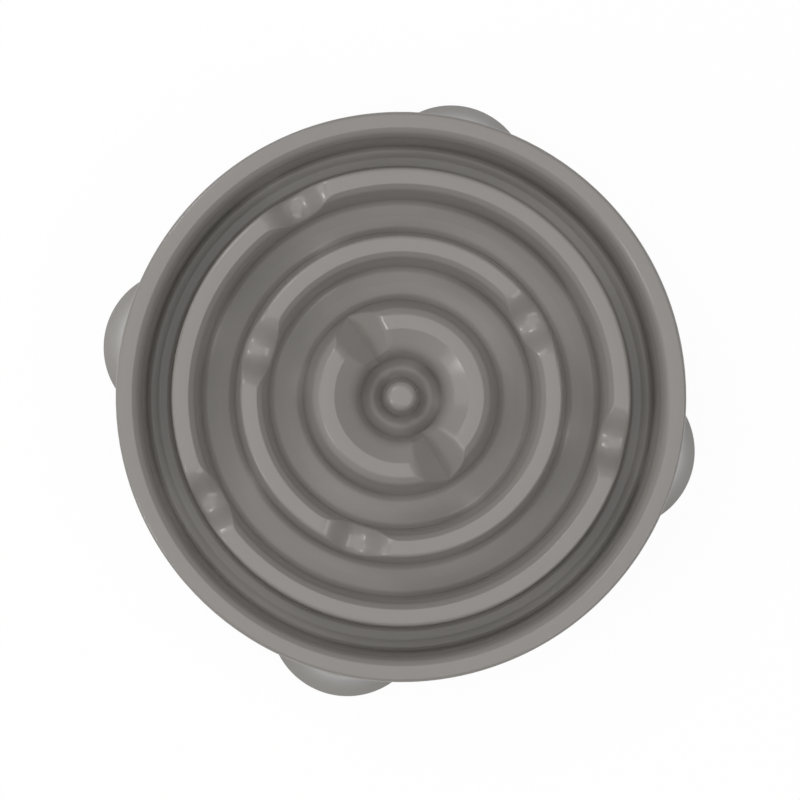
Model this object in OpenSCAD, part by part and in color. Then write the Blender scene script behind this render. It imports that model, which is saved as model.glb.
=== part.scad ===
// Slow feeder bowl: one thin-walled moulding with ring channels, a hub, a centre post
// and four foot lobes, each with a soft non-slip pad pressed into it.
// Millimetres, +Z up. The origin lies on the ground under the middle of the bowl.

/* [Overall] */
// Outer diameter of the rim at its crest
rim_d = 276; // [250:1:320]
// Height of the rim above the ground
bowl_h = 57; // [55:0.5:64]
// Wall thickness of the moulding
wall = 2.5; // [2:0.1:2.8]

/* [Rim and skirt] */
// Width of the rim's crest
rim_w = 9.6; // [8.5:0.1:11]
// Rounding along the rim's two edges
rim_round = 2.8; // [1.5:0.1:3.5]
// Draft of the channel wall inside the rim, in degrees
rim_draft = 4.5; // [4:0.5:6.5]
// Lean of the outer skirt, in degrees
skirt_draft = 5; // [3:0.5:6]
// Height of the skirt's lower edge above the ground
skirt_lift = 6; // [5:0.5:9]

/* [Channels and ridges] */
// How far the ridge crests lie below the rim
crest_drop = 5; // [3:0.5:7]
// Depth of the channels below the ridge crests
channel_depth = 26; // [24:0.5:30]
// Draft of the outer ridge's walls, in degrees
outer_ridge_draft = 6.5; // [5:0.5:8]
// Draft of the inner ridge's walls, in degrees
inner_ridge_draft = 11; // [8:0.5:12]
// Fillet along the channel floors
floor_fillet = 6; // [3:0.1:6.4]
// Rounding along the edges of the ridge crests
crest_round = 2.6; // [1.5:0.1:3.4]
// Place of the outer ridge, as a share of the way from the hub's crest to the rim's
outer_ridge_share = 0.758; // [0.745:0.001:0.775]
// Width of the outer ridge's crest
outer_ridge_w = 8.8; // [7.5:0.1:10]
// Place of the inner ridge, as a share of the way from the hub's crest to the rim's
inner_ridge_share = 0.381; // [0.35:0.001:0.41]
// Width of the inner ridge's crest
inner_ridge_w = 8.4; // [7.5:0.1:10]

/* [Hub, well and post] */
// Width of the hub's level crest
hub_crest_w = 9.3; // [8:0.1:12]
// Width of the slope from the hub's crest down to the well's mouth
hub_slope_w = 10.5; // [8:0.1:12]
// Draft of the hub's outer wall, in degrees
hub_draft = 18; // [14:0.5:20]
// Rounding along the hub's outer crest edge
hub_edge_round = 2.6; // [1.5:0.1:4]
// Rounding where the hub's crest turns down to the well
hub_round = 3.5; // [2:0.5:8]
// Gap between the well's mouth and the centre post
well_w = 14.7; // [13:0.1:18]
// How far the well's mouth lies below the hub's crest
well_drop = 7.4; // [5:0.1:9]
// Draft of the well's wall and of the post's, in degrees
well_draft = 8.5; // [6:0.5:9]
// Radius of the centre post under its domed top
post_r = 7; // [6:0.1:9]
// How far the post's top lies below the ridge crests
post_drop = 4; // [1:0.5:8]
// Rounding of the post's domed top
post_round = 6; // [4:0.1:6.5]

/* [Saddles in the ring ridges] */
// Depth of the saddles below the crests
saddle_depth = 11; // [9:0.5:14]
// Width of a saddle in the outer ridge, at the crest
outer_saddle_w = 30; // [27:0.5:33]
// Width of a saddle in the inner ridge, at the crest
inner_saddle_w = 30; // [27:0.5:33]
// Width of a saddle's floor
saddle_floor_w = 8; // [7:0.5:10]
// Rounding of a saddle's floor
saddle_floor_round = 9; // [6:0.5:10]
// Rounding where a saddle meets the crest
saddle_lip_round = 10; // [7:0.5:11]

/* [Valleys across the hub] */
// Depth of the valleys below the hub's crest
valley_depth = 16; // [13:0.5:18]
// Width of a valley at the crest
valley_w = 24; // [21:0.5:26]
// Width of a valley's floor
valley_floor_w = 4; // [3:0.5:6]
// Rounding of a valley's floor
valley_floor_round = 3; // [1.5:0.5:4]
// Rounding where a valley meets the crest
valley_lip_round = 9; // [6:0.5:10]

/* [Foot lobes] */
// How far a foot lobe stands out beyond the rim
foot_reach = 16; // [14:0.5:19]
// Radius of a foot lobe at the ground
foot_r = 39.5; // [36:0.5:44]
// Radius of a foot lobe at its neck
foot_neck_r = 24.5; // [23.5:0.1:25.5]
// Height of a foot lobe's neck above the ground
foot_neck_h = 45; // [42:0.5:47]
// Height of the upright land along a foot's lower edge
foot_land = 4.5; // [4.5:0.1:6]

/* [Pad pockets] */
// Thickness of a pad
pad_t = 4; // [3:0.1:4.2]
// How far a pad stands below the foot's lower edge
pad_proud = 1.2; // [0.8:0.1:2]
// Width of a pad across the foot
pad_w = 50; // [44:1:54]
// Length of the pad's pocket, from the foot's outermost edge inwards
pocket_l = 25.5; // [23:0.5:27]
// Thickness of the pocket's ribs
rib_t = 2; // [1.6:0.1:2.4]
// Clearance between a pad and its pocket
pad_clearance = 0.25; // [0.1:0.05:0.5]
// Chamfer round a pad's lower edge
pad_chamfer = 0.8; // [0.4:0.1:1]
// Distance from the pocket's inner wall to the bosses that hold a pad's pegs
boss_inset = 8; // [7:0.5:10]
// Distance between a foot's two bosses
boss_pitch = 26; // [22:1:30]
// Outer diameter of a boss
boss_d = 8.5; // [7.5:0.1:10]
// Diameter of a peg
peg_d = 4.5; // [3.5:0.1:5]
// Length of a peg above the pad
peg_l = 8; // [6:0.5:10]
// Clearance round a peg in its boss
peg_clearance = 0.15; // [0.1:0.05:0.3]

/* [Hidden] */
$fn = 96;

// Directions of the saddles and valleys, counter-clockwise from +X
outer_saddle_angles = [1, 132.4, 222.3];
inner_saddle_angles = [43, 175.5, 266];
valley_angles = [136, 316];
foot_angles = [0, 90, 180, 270];

// The share of a side that the rounding of one corner may take
side_share = 0.49;
// Flats drawn along a quarter of a rounded corner
arc_steps = 7;
// Roundings under this size are drawn as sharp corners
least_round = 0.5;
// Overrun of every cutting solid
over = 1;
// Lift of the saddle cutters' flared tops over the crests
flare_lift = 0.12;
// Height above the rim and below the ground that the cutting solids span
head_room = 10;
plastic = "#9b9893";
rubber = "#6f6d6a";

// Radii of the crests, from the middle outwards
well_r = post_r + well_w;
hub_crest_r = well_r + hub_slope_w;
hub_r = hub_crest_r + hub_crest_w;
rim_r = rim_d / 2;
ring_room = rim_r - rim_w - hub_r;
inner_ridge_r = hub_r + ring_room * inner_ridge_share;
outer_ridge_r = hub_r + ring_room * outer_ridge_share;

// Radii to a foot lobe's upright axis, its pocket's inner wall and its bosses
foot_axis_r = rim_r + foot_reach - foot_r;
pocket_r = foot_axis_r + foot_r - pocket_l;
boss_r = pocket_r + boss_inset;

// Heights above the ground
crest_z = bowl_h - crest_drop;
floor_z = crest_z - channel_depth;
top_z = bowl_h + head_room;
post_z = crest_z - post_drop;
well_z = crest_z - well_drop;
rib_top = floor_z - wall / 2;

// Feet of the walls on the channel floors
rim_foot = rim_r - rim_w - run(bowl_h - floor_z, rim_draft);
outer_ridge_half = outer_ridge_w / 2 + run(channel_depth, outer_ridge_draft);
inner_ridge_half = inner_ridge_w / 2 + run(channel_depth, inner_ridge_draft);
hub_foot = hub_r + run(channel_depth, hub_draft);
well_foot = well_r - run(well_z - floor_z, well_draft);
post_foot = post_r + run(post_z - floor_z, well_draft);

// Middles of the channel floors, where the saddles' and valleys' cutting solids end
outer_channel_r = (outer_ridge_r + outer_ridge_half + rim_foot) / 2;
middle_channel_r = (inner_ridge_r + inner_ridge_half + outer_ridge_r - outer_ridge_half) / 2;
inner_channel_r = (hub_foot + inner_ridge_r - inner_ridge_half) / 2;
well_channel_r = (post_foot + well_foot) / 2;

// How far a wall of this draft moves sideways over this height
function run(height, draft) = height * tan(draft);

function unit(v) = v / norm(v);
function before(p, i) = p[(i + len(p) - 1) % len(p)];
function after(p, i) = p[(i + 1) % len(p)];
function flat(v) = [v.x, v.y];
function left_of(v) = [-v.y, v.x];

// An outline's corner [x, y, radius] moved inwards by d. Outlines run counter-clockwise.
function inset_corner(p, i, d) =
    let (u = unit(flat(p[i]) - flat(before(p, i))), v = unit(flat(after(p, i)) - flat(p[i])))
    let (m = (left_of(u) + left_of(v)) / (1 + u * v), radius = p[i].z - sign(cross(u, v)) * d)
    [p[i].x + m.x * d, p[i].y + m.y * d, p[i].z == 0 || radius < least_round ? 0 : radius];

function inset(p, d) = [for (i = [0:len(p) - 1]) inset_corner(p, i, d)];

// The points along one corner, rounded to its radius or as far as its sides allow
function corner_arc(p, i) =
    let (here = flat(p[i]), a = flat(before(p, i)) - here, b = flat(after(p, i)) - here)
    let (c = unit(a) * unit(b), half = acos(c) / 2, sweep = acos(-c))
    let (radius = min(p[i].z, side_share * min(norm(a), norm(b)) * tan(half)))
    radius <= 0 ? [here] :
    let (mid = here + unit(unit(a) + unit(b)) * radius / sin(half))
    let (from = here + unit(a) * radius / tan(half) - mid, turn = cross(a, b) > 0 ? -1 : 1)
    let (steps = max(2, ceil(arc_steps * sweep / 90)))
    [for (k = [0:steps]) let (w = turn * sweep * k / steps)
        mid + [from.x * cos(w) - from.y * sin(w), from.x * sin(w) + from.y * cos(w)]];

function rounded(p) = [for (i = [0:len(p) - 1]) each corner_arc(p, i)];

// The corners of a ring ridge, from its outer foot over its crest to its inner foot
function ridge(mid_r, width, foot_half) =
    [[mid_r + foot_half, floor_z, floor_fillet], [mid_r + width / 2, crest_z, crest_round],
     [mid_r - width / 2, crest_z, crest_round], [mid_r - foot_half, floor_z, floor_fillet]];

// The bowl's section filled down to bottom_z, from the skirt over the rim to beyond the axis
function bowl_section(bottom_z) = concat(
    [[-rim_r, bottom_z, 0], [rim_r + run(bowl_h - bottom_z, skirt_draft), bottom_z, 0],
     [rim_r, bowl_h, rim_round], [rim_r - rim_w, bowl_h, rim_round], [rim_foot, floor_z, floor_fillet]],
    ridge(outer_ridge_r, outer_ridge_w, outer_ridge_half),
    ridge(inner_ridge_r, inner_ridge_w, inner_ridge_half),
    [[hub_foot, floor_z, floor_fillet], [hub_r, crest_z, hub_edge_round],
     [hub_crest_r, crest_z, hub_round], [well_r, well_z, crest_round], [well_foot, floor_z, floor_fillet],
     [post_foot, floor_z, floor_fillet], [post_r, post_z, post_round], [-rim_r, post_z, 0]]);

// The filled bowl, drawn in by d on all sides
module filled_bowl(d, bottom_z) {
    rotate_extrude() intersection() {
        polygon(rounded(inset(bowl_section(bottom_z - d), d)));
        translate([0, -head_room]) square([rim_d, top_z + head_room]);
    }
}

// A trench across a ridge, seen along the trench, with its flared top just over the crest
function trench(width, floor_w, depth, floor_round, lip_round) =
    let (lip_z = crest_z + flare_lift, far = width / 2 + 2 * lip_round)
    [[far, top_z, 0], [-far, top_z, 0], [-far, lip_z, 0], [-width / 2, lip_z, lip_round],
     [-floor_w / 2, crest_z - depth, floor_round], [floor_w / 2, crest_z - depth, floor_round],
     [width / 2, lip_z, lip_round], [far, lip_z, 0]];

// Trenches between two radii in each of these directions, grown by g all round
module trenches(outline, from_r, to_r, angles, g) {
    for (a = angles)
        rotate([90, 0, 90 + a])
            translate([0, 0, from_r - g])
                linear_extrude(to_r - from_r + 2 * g)
                    polygon(rounded(inset(outline, -g)));
}

// Everything that interrupts the ridges, each reaching to the middle of the channels beside it
module saddles_and_valleys(g) {
    trenches(trench(outer_saddle_w, saddle_floor_w, saddle_depth, saddle_floor_round, saddle_lip_round),
        middle_channel_r, outer_channel_r, outer_saddle_angles, g);
    trenches(trench(inner_saddle_w, saddle_floor_w, saddle_depth, saddle_floor_round, saddle_lip_round),
        inner_channel_r, middle_channel_r, inner_saddle_angles, g);
    trenches(trench(valley_w, valley_floor_w, valley_depth, valley_floor_round, valley_lip_round),
        well_channel_r, inner_channel_r, valley_angles, g);
}

// Radius of the hollow flare between a foot's neck and its upright land
flare_rise = foot_neck_h - foot_land - pad_proud;
flare_out = foot_r - foot_neck_r;
flare_r = (flare_out * flare_out + flare_rise * flare_rise) / (2 * flare_out);

// One trumpet-shaped lobe on its own upright axis, drawn in by d
module lobe(d, bottom_z) {
    translate([foot_axis_r, 0]) rotate_extrude() difference() {
        translate([0, bottom_z]) square([foot_r - d, foot_neck_h - d - bottom_z]);
        translate([foot_neck_r + flare_r, foot_neck_h]) circle(r = flare_r + d);
    }
}

// The part of a lobe that stands outside the rim's hollow
module foot(d, bottom_z) {
    difference() {
        lobe(d, bottom_z);
        translate([0, 0, -head_room]) cylinder(r = rim_r - rim_w / 2 - d / 2, h = top_z + head_room);
    }
}

module feet(d, bottom_z) {
    for (a = foot_angles) rotate(a) foot(d, bottom_z);
}

// The area of a pad pocket grown by g, out to a circle of radius r about the lobe's axis
module pocket_area(g, r) {
    difference() {
        intersection() {
            translate([foot_axis_r, 0]) circle(r = r);
            translate([foot_axis_r, -pad_w / 2 - g]) square([2 * foot_r, pad_w + 2 * g]);
        }
        circle(r = pocket_r - g);
    }
}

module at_bosses() {
    for (side = [-1, 1]) translate([boss_r, side * boss_pitch / 2]) children();
}

// The ribs inside a foot: a fence round the pad, three webs that it seats against and two bosses
module pocket_ribs() {
    difference() {
        intersection() {
            union() {
                translate([0, 0, -over]) linear_extrude(rib_top + over) difference() {
                    pocket_area(rib_t, foot_r - wall / 2);
                    pocket_area(0, foot_r + over);
                }
                for (y = [-boss_pitch / 2, 0, boss_pitch / 2])
                    translate([pocket_r - rib_t, y - rib_t / 2, pad_t])
                        cube([pocket_l, rib_t, rib_top - pad_t]);
                at_bosses() translate([0, 0, pad_t]) cylinder(d = boss_d, h = rib_top - pad_t);
            }
            lobe(wall / 2, pad_proud);
        }
        at_bosses() translate([0, 0, pad_t - over])
            cylinder(d = peg_d + 2 * peg_clearance, h = peg_l + 2 * over);
    }
}

// The bowl as one moulding: a filled form cut from above, then hollowed from below to one wall
module bowl() {
    color(plastic) {
        difference() {
            union() {
                filled_bowl(0, skirt_lift);
                feet(0, pad_proud);
            }
            saddles_and_valleys(0);
            difference() {
                union() {
                    filled_bowl(wall, -over);
                    feet(wall, -over);
                }
                saddles_and_valleys(wall);
            }
        }
        for (a = foot_angles) rotate(a) pocket_ribs();
    }
}

// A soft pad that fills the pocket of the foot on +X, with its lower edge chamfered all round
module pad_body() {
    c = pad_chamfer;
    reach = foot_r - wall - pad_clearance;
    half = pad_w / 2 - pad_clearance;
    inner = pocket_r + pad_clearance;
    difference() {
        intersection() {
            translate([foot_axis_r, 0]) rotate_extrude()
                polygon([[0, 0], [reach - c, 0], [reach, c], [reach, pad_t], [0, pad_t]]);
            translate([foot_axis_r, 0]) rotate([90, 0, 90]) linear_extrude(foot_r)
                polygon([[c - half, -over], [half - c, -over], [half - c, 0], [half, c],
                    [half, pad_t + over], [-half, pad_t + over], [-half, c], [c - half, 0]]);
        }
        rotate_extrude()
            polygon([[0, -over], [inner + c, -over], [inner + c, 0], [inner, c], [inner, pad_t + over],
                [0, pad_t + over]]);
    }
}

// The tapered tip of a peg is as long as the pad's chamfer
module peg() {
    cylinder(d = peg_d, h = pad_t + peg_l - pad_chamfer);
    translate([0, 0, pad_t + peg_l - pad_chamfer])
        cylinder(d1 = peg_d, d2 = peg_d - pad_chamfer, h = pad_chamfer);
}

module non_slip_pad(a) {
    color(rubber) rotate(a) {
        pad_body();
        at_bosses() translate([0, 0, pad_chamfer]) peg();
    }
}

module non_slip_pad_right() { non_slip_pad(foot_angles[0]); }
module non_slip_pad_back() { non_slip_pad(foot_angles[1]); }
module non_slip_pad_left() { non_slip_pad(foot_angles[2]); }
module non_slip_pad_front() { non_slip_pad(foot_angles[3]); }

bowl();
non_slip_pad_right();
non_slip_pad_back();
non_slip_pad_left();
non_slip_pad_front();
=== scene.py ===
# Slow feeder bowl: one thin moulding in warm grey polypropylene that stands on four rubber pads.
import math

import bpy
import numpy as np
from mathutils import Matrix, Vector


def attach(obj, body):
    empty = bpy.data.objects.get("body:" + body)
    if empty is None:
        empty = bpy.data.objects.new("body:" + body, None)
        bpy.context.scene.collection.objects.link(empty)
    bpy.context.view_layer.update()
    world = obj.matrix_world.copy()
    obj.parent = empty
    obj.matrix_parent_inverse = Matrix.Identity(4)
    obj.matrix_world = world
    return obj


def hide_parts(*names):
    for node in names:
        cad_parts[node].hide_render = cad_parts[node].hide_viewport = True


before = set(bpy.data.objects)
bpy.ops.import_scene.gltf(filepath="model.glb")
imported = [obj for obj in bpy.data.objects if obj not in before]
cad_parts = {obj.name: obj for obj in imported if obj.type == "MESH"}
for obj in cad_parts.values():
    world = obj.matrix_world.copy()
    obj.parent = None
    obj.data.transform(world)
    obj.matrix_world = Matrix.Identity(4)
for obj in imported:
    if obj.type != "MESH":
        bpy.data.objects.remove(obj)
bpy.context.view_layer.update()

mm = 0.001  # metres in a millimetre: every size below is in mm until it is put into a mesh
metre = 1000  # millimetres in a metre: divided by a pattern's size in mm, this is the pattern's scale
mergeDistance = 0.004  # mm, far below the finest detail
drumSides = 360  # of a round cutting tool


# Small helpers

def tangent(degrees):
    return math.tan(math.radians(degrees))


def activate(piece):
    bpy.ops.object.select_all(action="DESELECT")
    piece.select_set(True)
    bpy.context.view_layer.objects.active = piece


def editAll(piece):
    activate(piece)
    bpy.ops.object.mode_set(mode="EDIT")
    bpy.ops.mesh.select_all(action="SELECT")


def objectMode():
    bpy.ops.object.mode_set(mode="OBJECT")


def applyModifier(piece, kind, **settings):
    activate(piece)
    step = piece.modifiers.new(kind.title(), kind)
    for name, value in settings.items():
        setattr(step, name, value)
    bpy.ops.object.modifier_apply(modifier=step.name)


def combine(piece, tool, operation):
    applyModifier(piece, "BOOLEAN", operation=operation, solver="MANIFOLD", object=tool)
    bpy.data.objects.remove(tool)


def joined(pieces, name):
    activate(pieces[0])
    for piece in pieces:
        piece.select_set(True)
    bpy.ops.object.join()
    pieces[0].name = name
    return pieces[0]


def turnedCopies(piece, angles):  # copies about the bowl's axis, each with its own mesh
    copies = []
    for angle in angles:
        copy = piece.copy()
        copy.data = piece.data.copy()
        bpy.context.collection.objects.link(copy)
        editAll(copy)
        bpy.ops.transform.rotate(value=-math.radians(angle), orient_axis="Z", center_override=(0, 0, 0))
        objectMode()
        copies.append(copy)
    bpy.data.objects.remove(piece)
    return copies


def placeAt(piece, x, y=0):  # moves the mesh, so that its object stays at the origin
    editAll(piece)
    bpy.ops.transform.translate(value=(x * mm, y * mm, 0))
    objectMode()


def drum(name, radius, bottom, top, topRadius=None):  # a plain round cutting tool
    bpy.ops.object.select_all(action="DESELECT")
    bpy.ops.mesh.primitive_cone_add(vertices=drumSides, radius1=radius * mm,
                                    radius2=(topRadius or radius) * mm, depth=(top - bottom) * mm,
                                    location=(0, 0, (top + bottom) / 2 * mm))
    bpy.ops.object.transform_apply(location=True, rotation=True, scale=True)
    bpy.context.object.name = name
    return bpy.context.object


def block(name, low, high):  # a plain square cutting tool between two corners
    bpy.ops.object.select_all(action="DESELECT")
    middle = [(a + b) / 2 * mm for a, b in zip(low, high)]
    sides = [(b - a) * mm for a, b in zip(low, high)]
    bpy.ops.mesh.primitive_cube_add(size=1, location=middle, scale=sides)
    bpy.ops.object.transform_apply(location=True, rotation=True, scale=True)
    bpy.context.object.name = name
    return bpy.context.object


def roundCorners(corners, arcStep=18, sideShare=0.49):
    # corners are (x, z, radius), arcStep is in degrees, and a rounding takes at most sideShare of a side
    points = []
    for i, (x, z, radius) in enumerate(corners):
        here = np.array((x, z), float)
        if radius == 0:
            points.append(here)
            continue
        toBefore = np.array(corners[i - 1][:2]) - here
        toAfter = np.array(corners[i + 1][:2]) - here
        sides = [np.linalg.norm(toBefore), np.linalg.norm(toAfter)]
        a, b = toBefore / sides[0], toAfter / sides[1]
        half = math.acos(a @ b) / 2
        radius = min(radius, min(sides) * sideShare * math.tan(half))
        middle = here + (a + b) / np.linalg.norm(a + b) * radius / math.sin(half)
        start = here + a * radius / math.tan(half) - middle
        sweep = math.pi - 2 * half
        turn = -1 if a[0] * b[1] - a[1] * b[0] > 0 else 1
        steps = max(2, math.ceil(math.degrees(sweep) / arcStep))
        for k in range(steps + 1):
            w = turn * sweep * k / steps
            points.append(middle + (start[0] * math.cos(w) - start[1] * math.sin(w),
                                    start[0] * math.sin(w) + start[1] * math.cos(w)))
    return points


def addBetween(points, longest):  # splits the straight stretches into steps no longer than this
    filled = [points[0]]
    for a, b in zip(points, points[1:]):
        steps = max(1, math.ceil(np.linalg.norm(b - a) / longest))
        filled += [a + (b - a) * k / steps for k in range(1, steps + 1)]
    return filled


def trace(name, points):  # one vertex extruded along an outline of (x, z) points in mm
    path = [(x * mm, 0, z * mm) for x, z in points]
    bpy.ops.object.select_all(action="DESELECT")
    bpy.ops.mesh.primitive_plane_add(size=mm, location=(0, 0, 0))
    piece = bpy.context.object
    piece.name = name
    bpy.ops.object.mode_set(mode="EDIT")
    bpy.ops.mesh.merge(type="CENTER")
    bpy.ops.transform.translate(value=path[0])
    for a, b in zip(path, path[1:]):
        bpy.ops.mesh.extrude_vertices_move(TRANSFORM_OT_translate={"value": [q - p for p, q in zip(a, b)]})
    objectMode()
    return piece


def spinAll(piece, steps):
    editAll(piece)
    bpy.ops.mesh.spin(steps=steps, angle=2 * math.pi, center=(0, 0, 0), axis=(0, 0, 1))
    bpy.ops.mesh.select_all(action="SELECT")
    bpy.ops.mesh.remove_doubles(threshold=mergeDistance * mm)
    bpy.ops.mesh.normals_make_consistent(inside=False)
    objectMode()


# The bowl: an outline spun about the upright axis, pressed in at the saddles, then given its wall

bowlMoulding = {  # sizes in mm, drafts and the columns' steps in degrees
    "rimRadius": 138, "height": 57, "wall": 2.5,
    "skirtDraft": 5, "skirtLift": 6,
    "crestDrop": 5, "channelDepth": 26, "floorFillet": 5, "filletKeptShare": 0.6, "shoulderRound": 5,
    "crown": 0.28, "crownShares": (1, 0.1, -0.3, -0.65, -1), "outerEdgeRound": 2.2, "innerEdgeRound": 1,
    # shoulder: how far out and how far down the bends of a ridge's side lie from its crest's edge
    "rim": {"radius": 134.15, "width": 7.7, "inner": 1.5, "shoulder": ((2.2, 2), (3.8, 6.2))},
    "outerRidge": {"radius": 107.6, "width": 8, "outer": 6.5, "inner": 3,
                   "shoulder": ((2.4, 3), (3.9, 7.5))},
    "innerRidge": {"radius": 74.3, "width": 7.8, "outer": 11, "inner": 4,
                   "shoulder": ((2.4, 3), (3.9, 7.5))},
    "hub": {"radius": 36.3, "width": 7, "outer": 14, "shoulder": ((3.6, 3), (5, 7))},
    "wellRadius": 21.7, "wellDrop": 7.4, "wellRound": 12, "wellDraft": 8.5,
    "postRadius": 7, "postDrop": 4, "postRound": 6,
    "floorLine": {"width": 1.3, "height": 0.2, "ramp": 0.4},
    "columns": {"coarse": 2.8, "outer": 0.9, "inner": 1.2, "hub": 1.6},
    "longestStep": 9, "underSmoothing": 4, "sharpFrom": 30, "normalWeight": 80,
}
# bulge: how much further down the trench lies at the ridge's inner and outer edge than in its middle
ringSaddle = {"width": 30, "floor": 8, "depth": 11, "lipRound": 13, "floorRound": 9, "bulge": (3, 1)}
hubValley = {"width": 24, "floor": 0.02, "depth": 16, "lipRound": 9, "floorRound": 0, "bulge": (1, 1.6)}
saddles = {
    "outer": {"angles": (1, 132.4, 222.3), **ringSaddle},
    "inner": {"angles": (43, 175.5, 266), **ringSaddle},
    "hub": {"angles": (137, 314), **hubValley},
}
size = bowlMoulding
crestZ = size["height"] - size["crestDrop"]
floorZ = crestZ - size["channelDepth"]
wellZ = crestZ - size["wellDrop"]
postZ = crestZ - size["postDrop"]
wellFoot = size["wellRadius"] - (wellZ - floorZ) * tangent(size["wellDraft"])
postFoot = size["postRadius"] + (postZ - floorZ) * tangent(size["wellDraft"])


def skirtRadius(z):  # outside of the skirt, which leans outwards to its lower edge
    return size["rimRadius"] + (size["height"] - z) * tangent(size["skirtDraft"])


def crest(ridge, top):  # a gently crowned top, softer at its outer edge than at its inner one
    half = ridge["width"] / 2
    edges = {1: size["outerEdgeRound"], -1: size["innerEdgeRound"]}
    return [(ridge["radius"] + half * share, top - size["crown"] * share ** 2, edges.get(share, 0))
            for share in size["crownShares"]]


def sideway(half, bends, draft, depth):  # pairs of depth and distance from the ridge's middle
    pairs = [(0, half)] + [(down, half + out) for out, down in bends]
    drop, across = pairs[-1]
    return pairs + [(depth, across + (depth - drop) * tangent(draft))]


def innerSide(ridge, depth):
    return sideway(ridge["width"] / 2, ridge["shoulder"], ridge["inner"], depth)


def outerSide(ridge):
    return sideway(ridge["width"] / 2, (), ridge["outer"], size["channelDepth"])


def innerCorners(ridge, top):  # the inner side below the crest's edge
    pairs = innerSide(ridge, top - floorZ)
    corners = [(ridge["radius"] - out, top - down, size["shoulderRound"]) for down, out in pairs[1:-1]]
    return corners + [(ridge["radius"] - pairs[-1][1], floorZ, size["floorFillet"])]


def ridgeCorners(ridge):  # from the outer foot over the crest to the inner foot
    foot = (ridge["radius"] + outerSide(ridge)[-1][1], floorZ, size["floorFillet"])
    return [foot] + crest(ridge, crestZ) + innerCorners(ridge, crestZ)


def floorLine(outer, inner):  # the thin raised line that the mould leaves along a channel's floor
    line = size["floorLine"]
    middle, half = (outer + inner) / 2, line["width"] / 2
    top = floorZ + line["height"]
    return [(middle + half + line["ramp"], floorZ, 0), (middle + half, top, 0),
            (middle - half, top, 0), (middle - half - line["ramp"], floorZ, 0)]


def hubSides():  # the hub's two sides, seen from the middle between the well's mouth and its outer edge
    hub = size["hub"]
    outerEdge = hub["radius"] + hub["width"] / 2
    half = (outerEdge - size["wellRadius"]) / 2
    return (outerEdge - half, sideway(half, (), size["wellDraft"], size["channelDepth"]),
            sideway(half, hub["shoulder"], hub["outer"], size["channelDepth"]))


def upperOutline():
    outer, inner = ridgeCorners(size["outerRidge"]), ridgeCorners(size["innerRidge"])
    fillet = size["floorFillet"]
    middle, _, side = hubSides()
    hub = [(middle + out, crestZ - down, size["shoulderRound"]) for down, out in side[-2:0:-1]]
    hub = [(middle + side[-1][1], floorZ, fillet)] + hub + crest(size["hub"], crestZ)
    corners = [(skirtRadius(size["skirtLift"]), size["skirtLift"], 0)]
    corners += crest(size["rim"], size["height"]) + innerCorners(size["rim"], size["height"])
    corners += floorLine(corners[-1][0], outer[0][0]) + outer
    corners += floorLine(outer[-1][0], inner[0][0]) + inner
    corners += floorLine(inner[-1][0], hub[0][0]) + hub
    corners += [(size["wellRadius"], wellZ, size["wellRound"]), (wellFoot, floorZ, fillet),
                (postFoot, floorZ, fillet), (size["postRadius"], postZ, size["postRound"]), (0, postZ, 0)]
    return addBetween(roundCorners(corners), size["longestStep"])


def saddleReach(place):  # from a saddle's middle to where its lips have run out
    return (place["width"] + place["lipRound"]) / 2


def columnAngles():  # where the spun columns stand: close together at each saddle, wide apart elsewhere
    fine = []
    for name, radius in (("outer", size["outerRidge"]["radius"]), ("inner", size["innerRidge"]["radius"]),
                         ("hub", hubSides()[0])):
        place = saddles[name]
        reach = math.degrees(math.asin(saddleReach(place) / radius))
        fine += [(angle, reach, size["columns"][name]) for angle in place["angles"]]
    angles = [0.0]
    while angles[-1] < 360:
        here = angles[-1]
        steps = [step for angle, reach, step in fine if abs((here - angle + 180) % 360 - 180) < reach]
        angles.append(here + min(steps + [size["columns"]["coarse"]]))
    angles = np.array(angles[:-1]) * 360 / angles[-1]
    for angle, _, _ in fine:  # one column stands right in the middle of each saddle
        angles[np.argmin(np.abs(angles - angle))] = angle
    return angles


def getPoints(piece):  # in mm
    points = np.zeros(len(piece.data.vertices) * 3)
    piece.data.vertices.foreach_get("co", points)
    return points.reshape(-1, 3) / mm


def setPoints(piece, points):
    piece.data.vertices.foreach_set("co", (points * mm).ravel())
    piece.data.update()


def gatherColumns(points, angles):  # a turned form keeps its shape when its columns move round the axis
    radius = np.hypot(points[:, 0], points[:, 1])
    turn = np.degrees(np.arctan2(points[:, 1], points[:, 0])) % 360
    column = np.round(turn * len(angles) / 360).astype(int) % len(angles)
    turn = np.radians(angles[column])
    points[:, 0], points[:, 1] = radius * np.cos(turn), radius * np.sin(turn)


def alongAndAcross(points, angle):  # distances from the bowl's axis, along this angle and across it
    a = math.radians(angle)
    return (points[:, 0] * math.cos(a) + points[:, 1] * math.sin(a),
            points[:, 1] * math.cos(a) - points[:, 0] * math.sin(a))


def pressedTop(place, across):  # height of the trench's surface at this distance from its middle line
    half, floor, bottom = place["width"] / 2, place["floor"] / 2, crestZ - place["depth"]
    corners = [(-2 * half, crestZ, 0), (-half, crestZ, place["lipRound"]),
               (-floor, bottom, place["floorRound"])]
    corners += [(-x, z, radius) for x, z, radius in corners[::-1]]
    xs, zs = np.array(roundCorners(corners, arcStep=4)).T
    return np.interp(across, xs, zs, left=size["height"], right=size["height"])


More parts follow.
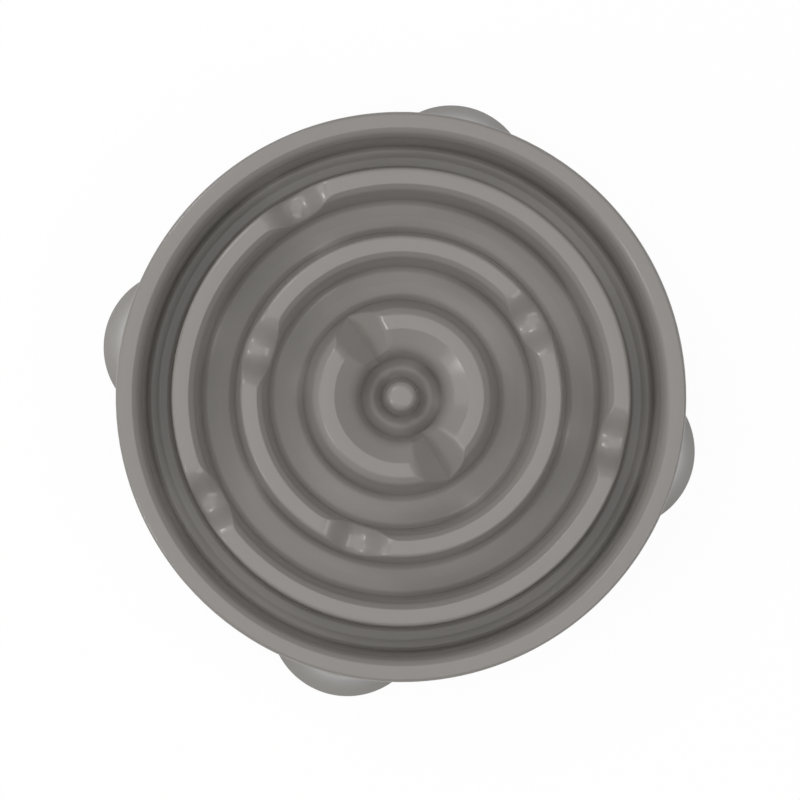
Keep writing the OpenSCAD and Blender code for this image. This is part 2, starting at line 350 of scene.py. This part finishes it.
def press(points, place, middle, inner, outer, cap, roundZone):
    # Lowers a ridge to the trench's surface and widens its crest to the ridge's own width at that depth.
    # inner and outer are pairs of depth and distance from the ridge's middle, cap is the crest's height at
    # each point, and roundZone the height over which the crest keeps its shape.
    filletTop = floorZ + size["floorFillet"] * size["filletKeptShare"]
    for angle in place["angles"]:
        radius = np.hypot(points[:, 0], points[:, 1])
        along, across = alongAndAcross(points, angle)
        top = pressedTop(place, across)
        z = points[:, 2]
        foot = np.where(radius < middle, inner[-1][1], outer[-1][1])
        near = (along > 0) & (np.abs(radius - middle) < foot) & (z > filletTop) & (top < cap)
        lower = cap - roundZone
        sides = np.interp(radius - middle, (-inner[0][1], 0, outer[0][1]), (-1, 0, 1))
        bulge = np.where(sides < 0, *place["bulge"]) * sides ** 2
        drop = (cap - top) * (1 + bulge / place["depth"])
        squashed = filletTop + (z - filletTop) * (lower - drop - filletTop) / (lower - filletTop)
        pressed = np.where(z > lower, z - drop, squashed)
        wider = [np.interp(cap - pressed, *np.array(side).T) / np.interp(cap - z, *np.array(side).T)
                 for side in (inner, outer)]
        newRadius = middle + (radius - middle) * np.where(radius < middle, *wider)
        scale = np.divide(newRadius, radius, out=np.ones_like(radius), where=near)
        points[:, 0] *= scale
        points[:, 1] *= scale
        points[:, 2] = np.where(near, pressed, z)


def evenUnderside(bowl, firstUnder, outer):  # smooths the hollow under the hub's valleys, where walls meet
    points = getPoints(bowl)
    radius = np.hypot(points[:, 0], points[:, 1])
    chosen = np.zeros(len(points), bool)
    for angle in saddles["hub"]["angles"]:
        along, across = alongAndAcross(points, angle)
        chosen |= (along > 0) & (np.abs(across) < saddleReach(saddles["hub"]))
    chosen &= (radius > size["wellRadius"]) & (radius < outer) & (points[:, 2] > floorZ)
    chosen[:firstUnder] = False
    editAll(bowl)
    bpy.ops.mesh.select_all(action="DESELECT")
    objectMode()
    bowl.data.vertices.foreach_set("select", chosen)
    bpy.ops.object.mode_set(mode="EDIT")
    bpy.ops.mesh.vertices_smooth(factor=0.5, repeat=size["underSmoothing"])
    objectMode()


def makeBowl():
    angles, outline = columnAngles(), upperOutline()
    bowl = trace("bowlMoulding", outline)
    spinAll(bowl, len(angles))
    points = getPoints(bowl)
    gatherColumns(points, angles)
    for name in ("outer", "inner"):
        ridge = size[name + "Ridge"]
        press(points, saddles[name], ridge["radius"], innerSide(ridge, size["channelDepth"]),
              outerSide(ridge), crestZ, ridge["shoulder"][-1][1])
    middle, inner, outer = hubSides()
    radius = np.hypot(points[:, 0], points[:, 1])
    xs, zs = np.array(outline[::-1]).T
    onHub = np.abs(xs - middle) <= inner[0][1]
    cap = np.interp(radius, xs[onHub], zs[onHub], left=wellZ, right=crestZ)
    press(points, saddles["hub"], middle, inner, outer, cap, size["hub"]["shoulder"][0][1])
    setPoints(bowl, points)
    applyModifier(bowl, "SOLIDIFY", thickness=size["wall"] * mm, offset=-1)
    evenUnderside(bowl, len(points), middle + outer[-1][1])
    print("bowl spun:", len(outline), "points,", len(angles), "columns,", len(bowl.data.polygons), "faces")
    return bowl


bowl = makeBowl()


# The four foot lobes: hollow trumpet flares that grow out of the skirt, ribbed inside to hold the pads

footLobe = {  # reach is from the rim's outside, and land is the upright edge below the flare
    "reach": 16, "radius": 39.5, "neckRadius": 24.5, "neckHeight": 45, "land": 4.5,
    "angles": (0, 90, 180, 270), "steps": 96, "flareStep": 4,
}
padPocket = {
    "padThickness": 4, "padProud": 1.2, "width": 50, "length": 25.5, "rib": 2,
    "bossInset": 8, "bossPitch": 26, "bossDiameter": 8.5, "boreDiameter": 4.8, "boreDepth": 9,
}
lobe = footLobe
pocket = padPocket
lobeAxis = size["rimRadius"] + lobe["reach"] - lobe["radius"]
flareOut = lobe["radius"] - lobe["neckRadius"]
flareRise = lobe["neckHeight"] - lobe["land"] - pocket["padProud"]
flareRadius = (flareOut ** 2 + flareRise ** 2) / (2 * flareOut)
beyond = 10  # how far the cutting tools run past what they cut


def lobeCurve(inset, bottom):  # the flare from its neck down to its edge, drawn in by inset
    centreX = lobe["neckRadius"] + flareRadius
    top = lobe["neckHeight"] - inset
    reach = flareRadius + inset
    turns = np.linspace(0, 1, 2 + round(flareRise / lobe["flareStep"]))
    zs = top - turns * (top - pocket["padProud"] - lobe["land"])
    curve = [(centreX - math.sqrt(reach ** 2 - (lobe["neckHeight"] - z) ** 2), z) for z in zs]
    return curve + [(lobe["radius"] - inset, bottom)]


def lobeSolid(name, inset, bottom):
    curve = lobeCurve(inset, bottom)
    piece = trace(name, [(0, curve[0][1])] + curve + [(0, bottom)])
    spinAll(piece, lobe["steps"])
    placeAt(piece, lobeAxis)
    return piece


def lobeShell():  # a wall's thickness of the flare, cut off along the middle of the skirt's wall
    outer = lobeCurve(0, pocket["padProud"])
    inner = lobeCurve(size["wall"], pocket["padProud"])
    top = [(0, lobe["neckHeight"] - size["wall"]), (0, lobe["neckHeight"])]
    shell = trace("footLobe", top[1:] + outer + inner[::-1] + top[:1])
    spinAll(shell, lobe["steps"])
    placeAt(shell, lobeAxis)
    low, high, inWall = -beyond, size["height"] + beyond, size["wall"] / 2
    core = drum("skirtCore", skirtRadius(low) - inWall, low, high, skirtRadius(high) - inWall)
    combine(shell, core, "DIFFERENCE")
    return shell


def lobeOpening():  # what is cut out of the skirt's wall inside a lobe
    opening = lobeSolid("lobeOpening", size["wall"], -beyond)
    core = drum("rimCore", size["rim"]["radius"] - size["wall"] / 2, -2 * beyond, size["height"])
    combine(opening, core, "DIFFERENCE")
    return opening


def pocketRibs():  # a fence round the pad, three webs that it seats against and two bosses
    top, bottom = floorZ - size["wall"] / 2, pocket["padThickness"]
    inner = lobeAxis + lobe["radius"] - pocket["length"]
    outer = lobeAxis + lobe["radius"] + beyond
    half, rib = pocket["width"] / 2, pocket["rib"]
    fence = block("fence", (inner - beyond, -half - rib, -beyond), (outer, half + rib, top))
    combine(fence, block("fenceInside", (inner - 2 * beyond, -half, -2 * beyond),
                         (outer + beyond, half, top + beyond)), "DIFFERENCE")
    combine(fence, drum("fenceCore", inner - rib, -2 * beyond, top + beyond), "DIFFERENCE")
    wall = drum("fenceBack", inner, -beyond, top)
    combine(wall, drum("fenceCore", inner - rib, -2 * beyond, top + beyond), "DIFFERENCE")
    keep = block("fenceWidth", (inner - beyond, -half - rib, -2 * beyond),
                 (outer, half + rib, top + beyond))
    combine(wall, keep, "INTERSECT")
    combine(fence, wall, "UNION")
    spots = [side * pocket["bossPitch"] / 2 for side in (-1, 1)]
    for y in spots + [0]:
        web = block("web", (inner - rib / 2, y - rib / 2, bottom), (outer, y + rib / 2, top))
        combine(fence, web, "UNION")
    for y in spots:
        boss = drum("boss", pocket["bossDiameter"] / 2, bottom, top)
        placeAt(boss, inner + pocket["bossInset"], y)
        combine(fence, boss, "UNION")
    for y in spots:
        bore = drum("bore", pocket["boreDiameter"] / 2, bottom - beyond, bottom + pocket["boreDepth"])
        placeAt(bore, inner + pocket["bossInset"], y)
        combine(fence, bore, "DIFFERENCE")
    combine(fence, lobeSolid("ribLimit", size["wall"] / 2, pocket["padProud"]), "INTERSECT")
    return fence


def makeFeet(bowl):
    combine(bowl, joined(turnedCopies(lobeOpening(), lobe["angles"]), "openings"), "DIFFERENCE")
    combine(bowl, joined(turnedCopies(lobeShell(), lobe["angles"]), "lobes"), "UNION")
    combine(bowl, joined(turnedCopies(pocketRibs(), lobe["angles"]), "ribs"), "UNION")
    activate(bowl)
    bpy.ops.object.shade_smooth_by_angle(angle=math.radians(size["sharpFrom"]))
    applyModifier(bowl, "WEIGHTED_NORMAL", mode="FACE_AREA", weight=size["normalWeight"], keep_sharp=True)
    print("feet joined:", len(bowl.data.polygons), "faces")


makeFeet(bowl)
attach(bowl, "root")
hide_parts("bowl")


# Materials

def linear(hexColour):  # sRGB hex to the linear colour that a shader takes
    parts = [int(hexColour[i:i + 2], 16) / 255 for i in (1, 3, 5)]
    return [p / 12.92 if p <= 0.04045 else ((p + 0.055) / 1.055) ** 2.4 for p in parts] + [1]


def addNode(tree, kind, values={}, links={}, **settings):
    # Sockets go by name or by number; a Mix node's factor is 0 and its two colours are 6 and 7
    node = tree.nodes.new(kind)
    for name, value in settings.items():
        setattr(node, name, value)
    for socket, value in values.items():
        node.inputs[socket].default_value = value
    for socket, source in links.items():
        tree.links.new(source, node.inputs[socket])
    return node


def newMaterial(name):
    material = bpy.data.materials.new(name)
    material.use_nodes = True
    material.node_tree.nodes.clear()
    return material, material.node_tree


def finishWith(tree, shader):
    addNode(tree, "ShaderNodeOutputMaterial", links={"Surface": shader.outputs[0]})


polypropylene = {  # clearShare: how many of the cells, each speckSpacing wide, hold no speck
    "colour": "#989490", "darker": "#95918d", "speck": "#5a554f", "ior": 1.49,
    "roughness": (0.16, 0.21), "cloudRange": (0.3, 0.7),
    "clouds": 28, "peel": 3.2, "peelHeight": 0.006, "grain": 0.6, "grainHeight": 0.003,
    "speckSpacing": 9, "speckSize": 0.3, "clearShare": 0.88,
}


def mouldedPolypropylene():
    # Polypropylene moulded in a satin-polished tool: an even soft gloss, faintly clouded, with a fine
    # orange peel that breaks up the edges of its reflections and a rare dark speck in the melt.
    look = polypropylene
    material, tree = newMaterial("mouldedPolypropylene")
    place = addNode(tree, "ShaderNodeTexCoord").outputs["Object"]
    clouds = addNode(tree, "ShaderNodeTexNoise", {"Scale": metre / look["clouds"], "Detail": 3},
                     {"Vector": place})
    peel = addNode(tree, "ShaderNodeTexNoise", {"Scale": metre / look["peel"], "Detail": 2},
                   {"Vector": place})
    grain = addNode(tree, "ShaderNodeTexNoise", {"Scale": metre / look["grain"], "Detail": 1},
                    {"Vector": place})
    spots = addNode(tree, "ShaderNodeTexVoronoi", {"Scale": metre / look["speckSpacing"]},
                    {"Vector": place})
    isSpeck = addNode(tree, "ShaderNodeMapRange",
                      {"From Min": look["speckSize"] / look["speckSpacing"], "From Max": 0},
                      {"Value": spots.outputs["Distance"]})
    rare = addNode(tree, "ShaderNodeSeparateColor", links={"Color": spots.outputs["Color"]})
    chosen = addNode(tree, "ShaderNodeMath", {1: look["clearShare"]}, {0: rare.outputs["Red"]},
                     operation="GREATER_THAN")
    specks = addNode(tree, "ShaderNodeMath", {}, {0: isSpeck.outputs[0], 1: chosen.outputs[0]},
                     operation="MULTIPLY")
    body = addNode(tree, "ShaderNodeMix", {6: linear(look["colour"]), 7: linear(look["darker"])},
                   {0: clouds.outputs["Fac"]}, data_type="RGBA")
    colour = addNode(tree, "ShaderNodeMix", {7: linear(look["speck"])},
                     {0: specks.outputs[0], 6: body.outputs[2]}, data_type="RGBA")
    rough = addNode(tree, "ShaderNodeMapRange",
                    {"From Min": look["cloudRange"][0], "From Max": look["cloudRange"][1],
                     "To Min": look["roughness"][0], "To Max": look["roughness"][1]},
                    {"Value": clouds.outputs["Fac"]})
    wide = addNode(tree, "ShaderNodeBump", {"Strength": 1, "Distance": look["peelHeight"] * mm},
                   {"Height": peel.outputs["Fac"]})
    fine = addNode(tree, "ShaderNodeBump", {"Strength": 1, "Distance": look["grainHeight"] * mm},
                   {"Height": grain.outputs["Fac"], "Normal": wide.outputs[0]})
    finishWith(tree, addNode(tree, "ShaderNodeBsdfPrincipled", {"IOR": look["ior"]},
                             {"Base Color": colour.outputs[2], "Roughness": rough.outputs[0],
                              "Normal": fine.outputs[0]}))
    return material


rubber = {
    "colour": "#6f6d6a", "darker": "#676561", "ior": 1.52, "roughness": (0.62, 0.78),
    "clouds": 9, "texture": 0.7, "textureHeight": 0.02,
}


def mouldedRubber():
    # Thermoplastic rubber moulded in a spark-eroded tool: matt, with an even pebbled texture that
    # is drawn a little coarser than the real one so that it shows
    look = rubber
    material, tree = newMaterial("mouldedThermoplasticRubber")
    place = addNode(tree, "ShaderNodeTexCoord").outputs["Object"]
    clouds = addNode(tree, "ShaderNodeTexNoise", {"Scale": metre / look["clouds"], "Detail": 4},
                     {"Vector": place})
    pebbles = addNode(tree, "ShaderNodeTexVoronoi", {"Scale": metre / look["texture"]},
                      {"Vector": place}, feature="SMOOTH_F1")
    colour = addNode(tree, "ShaderNodeMix", {6: linear(look["colour"]), 7: linear(look["darker"])},
                     {0: clouds.outputs["Fac"]}, data_type="RGBA")
    rough = addNode(tree, "ShaderNodeMapRange",
                    {"To Min": look["roughness"][0], "To Max": look["roughness"][1]},
                    {"Value": clouds.outputs["Fac"]})
    bump = addNode(tree, "ShaderNodeBump", {"Strength": 1, "Distance": look["textureHeight"] * mm},
                   {"Height": pebbles.outputs["Distance"]})
    finishWith(tree, addNode(tree, "ShaderNodeBsdfPrincipled", {"IOR": look["ior"]},
                             {"Base Color": colour.outputs[2], "Roughness": rough.outputs[0],
                              "Normal": bump.outputs[0]}))
    return material


bowl.data.materials.clear()
bowl.data.materials.append(mouldedPolypropylene())
rubberFinish = mouldedRubber()
pads = [piece for name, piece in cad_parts.items() if name.startswith("non_slip_pad")]
for pad in pads:
    pad.data.materials.clear()
    pad.data.materials.append(rubberFinish)
print("materials set on the bowl and", len(pads), "pads")


# White floor, lamps and camera

studio = {
    "floorSize": 12000, "floorColour": "#e2e2e1", "shadowShare": 0.08, "white": 1.03,
    "skyColour": "#ffffff", "skyLight": 0.15,
    "softboxes": {  # azimuth clockwise from the picture's up, elevation, distance, width, height, watts
        "overhead": (0, 90, 1700, 1900, 1900, 11),
        "left": (254, 36, 2200, 2000, 1300, 8.8),
        "upperLeft": (319, 47, 2200, 1500, 700, 6),
        "right": (117, 48, 2200, 1900, 700, 9.4),
        "leftSpot": (243, 34, 2200, 360, 340, 3.4),
        "upperSpot": (314, 40, 2200, 360, 340, 3.4),
    },
}
view = {  # turn is from +Y to the picture's up, and height and widthSeen are taken at the rim's top
    "turn": 13.4, "height": 900, "widthSeen": 386.3, "sensor": 36,
    # places to the right and up in the picture, from the bowl's axis
    "standsAt": (-19, -33), "looksAt": (-0.94, -2.25),
}


def whitePaper():
    # A matt sheet that the camera and reflections see as white, darkened a little by the shadow on it
    material, tree = newMaterial("whitePaper")
    rays = addNode(tree, "ShaderNodeLightPath").outputs
    seen = rays["Is Camera Ray"]
    for ray in ("Is Glossy Ray", "Is Transmission Ray"):
        seen = addNode(tree, "ShaderNodeMath", {}, {0: seen, 1: rays[ray]}, operation="MAXIMUM").outputs[0]
    matt = addNode(tree, "ShaderNodeBsdfDiffuse", {"Color": linear(studio["floorColour"])})
    white = addNode(tree, "ShaderNodeEmission", {"Color": (1, 1, 1, 1), "Strength": studio["white"]})
    share = addNode(tree, "ShaderNodeMath", {1: 1 - studio["shadowShare"]}, {0: seen}, operation="MULTIPLY")
    finishWith(tree, addNode(tree, "ShaderNodeMixShader", {},
                             {0: share.outputs[0], 1: matt.outputs[0], 2: white.outputs[0]}))
    return material


def makeFloor():
    bpy.ops.object.select_all(action="DESELECT")
    bpy.ops.mesh.primitive_plane_add(size=studio["floorSize"] * mm, location=(0, 0, 0))
    floor = bpy.context.object
    floor.name = "floor"
    floor.data.materials.append(whitePaper())


def makeSky():
    world = bpy.data.worlds.new("studioSky")
    bpy.context.scene.world = world
    world.use_nodes = True
    tree = world.node_tree
    tree.nodes.clear()
    rays = addNode(tree, "ShaderNodeLightPath")
    light = addNode(tree, "ShaderNodeBackground",
                    {"Color": linear(studio["skyColour"]), "Strength": studio["skyLight"]})
    white = addNode(tree, "ShaderNodeBackground", {"Color": (1, 1, 1, 1), "Strength": 1})
    pick = addNode(tree, "ShaderNodeMixShader", {},
                   {0: rays.outputs["Is Camera Ray"], 1: light.outputs[0], 2: white.outputs[0]})
    addNode(tree, "ShaderNodeOutputWorld", links={"Surface": pick.outputs[0]})


def makeSoftbox(name, azimuth, elevation, distance, width, height, watts):
    turn, rise = math.radians(azimuth - view["turn"]), math.radians(elevation)
    towards = Vector((math.sin(turn) * math.cos(rise), math.cos(turn) * math.cos(rise), math.sin(rise)))
    lamp = bpy.data.lights.new(name, "AREA")
    lamp.shape = "RECTANGLE"
    lamp.size, lamp.size_y, lamp.energy = width * mm, height * mm, watts
    box = bpy.data.objects.new(name, lamp)
    bpy.context.collection.objects.link(box)
    box.location = towards * distance * mm
    box.rotation_mode = "QUATERNION"
    box.rotation_quaternion = towards.to_track_quat("Z", "Y")
    box.visible_camera = False


def makeCamera():
    turn = math.radians(view["turn"])
    right, up = Vector((math.cos(turn), math.sin(turn), 0)), Vector((-math.sin(turn), math.cos(turn), 0))
    (x, y), (seenX, seenY) = view["standsAt"], view["looksAt"]
    target = right * seenX + up * seenY
    place = right * x + up * y + Vector((0, 0, view["height"]))
    back = (place - target).normalized()
    side = (right - back * right.dot(back)).normalized()
    camera = bpy.data.objects.new("camera", bpy.data.cameras.new("camera"))
    bpy.context.collection.objects.link(camera)
    camera.data.sensor_fit = "HORIZONTAL"
    camera.data.sensor_width = view["sensor"]
    camera.data.lens = view["sensor"] * (place - target).length / view["widthSeen"]
    camera.location = (place + Vector((0, 0, size["height"]))) * mm
    camera.rotation_euler = Matrix((side, back.cross(side), back)).transposed().to_euler()
    bpy.context.scene.camera = camera


makeFloor()
makeSky()
for name, values in studio["softboxes"].items():
    makeSoftbox(name, *values)
makeCamera()
bpy.context.scene.view_settings.view_transform = "Standard"
print("stage, lamps and camera set")
